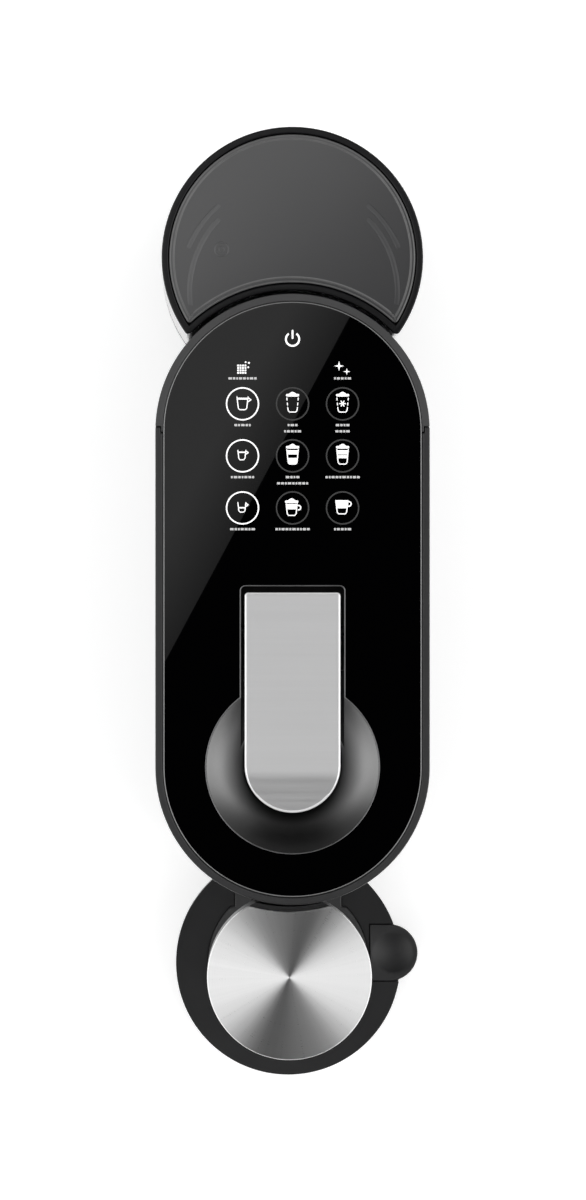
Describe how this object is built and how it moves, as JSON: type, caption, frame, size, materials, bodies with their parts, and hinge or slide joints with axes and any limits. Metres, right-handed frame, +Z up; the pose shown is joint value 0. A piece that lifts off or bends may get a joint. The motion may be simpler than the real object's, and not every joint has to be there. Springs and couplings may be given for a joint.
{
  "type": "pod coffee machine",
  "caption": "Slim pod coffee machine with a touch glass top, a capsule lever in a dish, a lift-off rear tank, and a sliding froth head over a round cup base.",
  "frame": {"origin": "on the table, under the middle of the footprint", "axes": "+Z up, -Y towards the cup side, +X to the right seen from the cup side"},
  "size_m": [0.124, 0.438, 0.2695],
  "materials": {
    "chassis_black": "moulded, fine grain",
    "foot_rubber": "matt",
    "base_black": "satin black",
    "platform_grey": "satin grey",
    "cover_black": "satin black, fine grain",
    "frame_grey": "satin dark grey",
    "rear_frame_grey": "satin dark grey",
    "touch_glass": "polished, black-backed",
    "trim_metal": "bright",
    "well_dark": "metallised, satin",
    "board_green": "solder mask",
    "frame_black": "moulded",
    "pump_grey": "satin",
    "mount_rubber": "matt",
    "meter_white": "natural",
    "cast_aluminium": "as cast",
    "hose_silicone": "milky",
    "brew_black": "glass-filled",
    "cage_black": "glass-filled",
    "injector_steel": "satin",
    "lever_metal": "cross-brushed",
    "pin_steel": "ground",
    "crank_metal": "cast",
    "rod_steel": "polished",
    "carriage_black": "satin",
    "head_black": "satin black",
    "cap_steel": "turned",
    "motor_metal": "zinc",
    "whisk_steel": "polished",
    "bin_black": "satin black",
    "seat_black": "moulded",
    "tank_smoke": "clear smoked",
    "collar_black": "gloss",
    "lid_smoke": "smoked",
    "valve_orange": "silicone",
    "spring_steel": "bright",
    "screw_steel": "zinc plated"
  },
  "bodies": {
    "body": {"base_plate": "chassis_black", "rubber_feet": "foot_rubber", "front_base": "base_black", "front_cover": "cover_black", "rear_cover": "cover_black", "top_frame": "frame_grey", "rear_frame": "rear_frame_grey", "glass_panel": "touch_glass", "well_trim": "trim_metal", "lever_well": "well_dark", "touch_board": "board_green", "control_board": "board_green", "inner_frame": "frame_black", "pump": "pump_grey", "pump_mounts": "mount_rubber", "flow_meter": "meter_white", "heater_block": "cast_aluminium", "water_hoses": "hose_silicone", "brew_frame": "brew_black", "capsule_cage": "cage_black", "injection_head": "injector_steel", "coffee_hose": "hose_silicone", "rod_bracket": "brew_black", "guide_rods": "rod_steel", "tank_base": "base_black", "tank_seat": "seat_black", "cord_gland": "mount_rubber", "case_screws": "screw_steel"},
    "lever": {"lever": "lever_metal", "lever_axle": "pin_steel", "lever_cranks": "crank_metal"},
    "brew_carriage": {"brew_carriage": "cage_black", "extraction_plate": "injector_steel"},
    "froth_head": {"froth_carriage": "carriage_black", "froth_housing": "head_black", "froth_cap": "cap_steel", "froth_motor": "motor_metal", "coffee_pipe": "pin_steel"},
    "whisk": {"whisk_shaft": "whisk_steel", "whisk": "whisk_steel"},
    "capsule_bin": {"capsule_bin": "bin_black"},
    "drip_drawer": {"drip_tray": "base_black"},
    "cup_platform": {"cup_platform": "platform_grey"},
    "water_tank": {"water_tank": "tank_smoke", "tank_collar": "collar_black", "valve_cage": "seat_black", "valve_spring": "spring_steel"},
    "tank_lid": {"tank_lid": "lid_smoke"},
    "tank_valve": {"tank_valve": "valve_orange"}
  },
  "joints": [
    {"name": "lever_pivot", "type": "hinge", "parent": "body", "child": "lever", "pos_m": [0, -0.009, 0.26], "axis": [-1, 0, 0], "range_deg": [0, 80]},
    {"name": "brew_carriage_slide", "type": "slide", "parent": "body", "child": "brew_carriage", "axis": [0, -1, 0], "range_m": [0, 0.02804]},
    {"name": "froth_slide", "type": "slide", "parent": "body", "child": "froth_head", "axis": [0, 0, 1], "range_m": [-0.08, 0], "deforming": ["coffee_hose"]},
    {"name": "whisk_spin", "type": "hinge", "parent": "froth_head", "child": "whisk", "pos_m": [-0.0013, -0.1661, 0.16], "axis": [0, 0, 1], "continuous": true},
    {"name": "capsule_bin_slide", "type": "slide", "parent": "body", "child": "capsule_bin", "axis": [0, -1, 0], "range_m": [0, 0.11]},
    {"name": "drip_drawer_slide", "type": "slide", "parent": "body", "child": "drip_drawer", "axis": [1, 0, 0], "range_m": [0, 0.095]},
    {"name": "platform_lift", "type": "slide", "parent": "body", "child": "cup_platform", "axis": [0, 0, -1], "range_m": [-0.02, 0]},
    {"name": "tank_lift", "type": "slide", "parent": "body", "child": "water_tank", "axis": [0, 0, 1], "range_m": [0, 0.24]},
    {"name": "tank_lid_lift", "type": "slide", "parent": "water_tank", "child": "tank_lid", "axis": [0, 0, 1], "range_m": [0, 0.05]},
    {"name": "tank_valve_slide", "type": "slide", "parent": "water_tank", "child": "tank_valve", "axis": [0, 0, 1], "range_m": [0, 0.002], "stiffness_N_per_m": 150, "springref_m": -0.002, "deforming": ["valve_spring"]}
  ],
  "couplings": [
    {"joint": "brew_carriage_slide", "follows": "lever_pivot", "m_per_rad": 0.020072}
  ]
}
